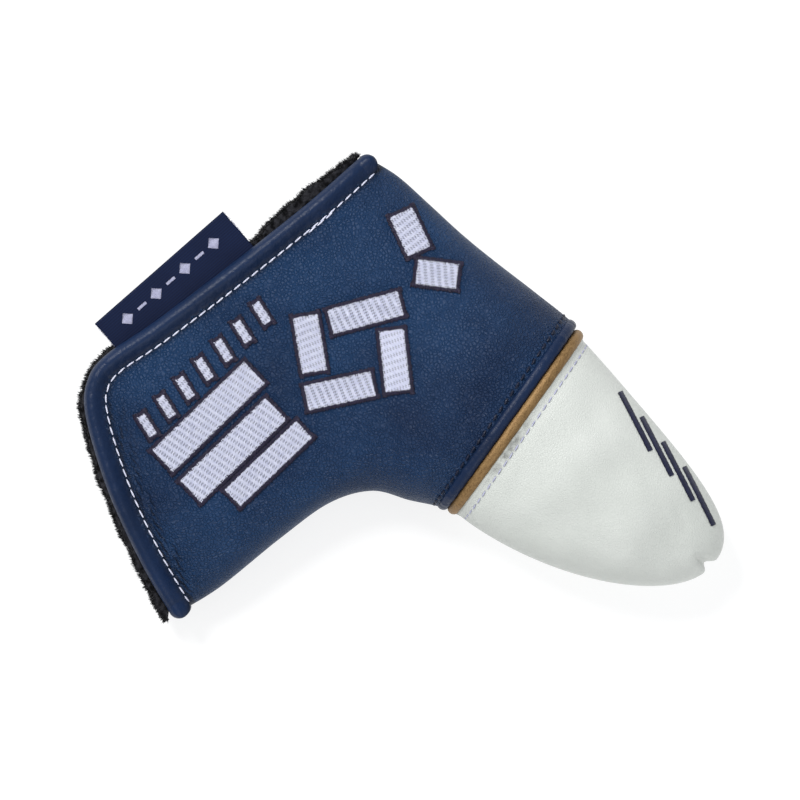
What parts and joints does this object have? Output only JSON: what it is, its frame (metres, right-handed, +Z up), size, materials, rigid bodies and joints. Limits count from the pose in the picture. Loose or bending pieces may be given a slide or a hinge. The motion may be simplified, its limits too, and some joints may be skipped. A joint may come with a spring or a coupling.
{
  "type": "putter head cover",
  "caption": "Padded L-shaped sleeve for a blade putter head, with a plush-lined mouth, a lifting front flap, a piped toe cap and a side label.",
  "frame": {"origin": "middle of the outline in the plan, on the table it lies on", "axes": "+X along the blade from toe to heel, +Y up the neck towards the shaft, +Z up from the rear side to the front side"},
  "size_m": [0.1945, 0.1478, 0.0399],
  "materials": {
    "navy_leather": "fine pebbled synthetic leather, satin",
    "navy_binding": "smooth synthetic leather, satin",
    "white_leather": "smooth synthetic leather, satin",
    "gold_leather": "brushed metallic synthetic leather",
    "black_plush": "short dense plush",
    "foam": "thin polyurethane foam bonded to the leather",
    "piping_cord": "twisted cotton cord",
    "white_thread": "glossy polyester embroidery thread",
    "plum_thread": "glossy polyester embroidery thread",
    "navy_thread": "bonded sewing thread",
    "lilac_thread": "bonded sewing thread",
    "navy_print": "smooth dark embroidery thread",
    "closure_tape": "hook-and-loop tape",
    "woven_navy": "fine woven satin ribbon"
  },
  "bodies": {
    "cover": {"body_panel": "navy_leather", "toe_panel": "white_leather", "front_foam": "foam", "rear_foam": "foam", "front_lining": "black_plush", "rear_lining": "black_plush", "hem_roll": "navy_leather", "gold_piping": "gold_leather", "piping_cord": "piping_cord", "mouth_binding": "navy_binding", "mouth_stitching": "white_thread", "body_embroidery": "white_thread", "body_embroidery_border": "plum_thread", "hem_stitching": "navy_thread", "toe_stitching": "lilac_thread", "toe_stripes": "navy_print", "hook_strip": "closure_tape"},
    "front_flap": {"flap_panel": "navy_leather", "flap_foam": "foam", "flap_lining": "black_plush", "flap_binding": "navy_binding", "flap_stitching": "white_thread", "flap_embroidery": "white_thread", "flap_embroidery_border": "plum_thread", "loop_strip": "closure_tape", "label_base": "woven_navy"},
    "label_tab": {"woven_label": "woven_navy", "label_pattern": "white_thread"}
  },
  "joints": [
    {"name": "flap_fold", "type": "hinge", "parent": "cover", "child": "front_flap", "pos_m": [0.0575, -0.0743, 0.0247], "axis": [0.1992, -0.98, 0], "range_deg": [0, 60], "stiffness_Nm_per_rad": 0.03},
    {"name": "label_bend", "type": "hinge", "parent": "front_flap", "child": "label_tab", "pos_m": [0.0715, -0.033, 0.01935], "axis": [-0.3339, -0.9425, 0.0148], "range_deg": [0, 85], "stiffness_Nm_per_rad": 0.001}
  ]
}
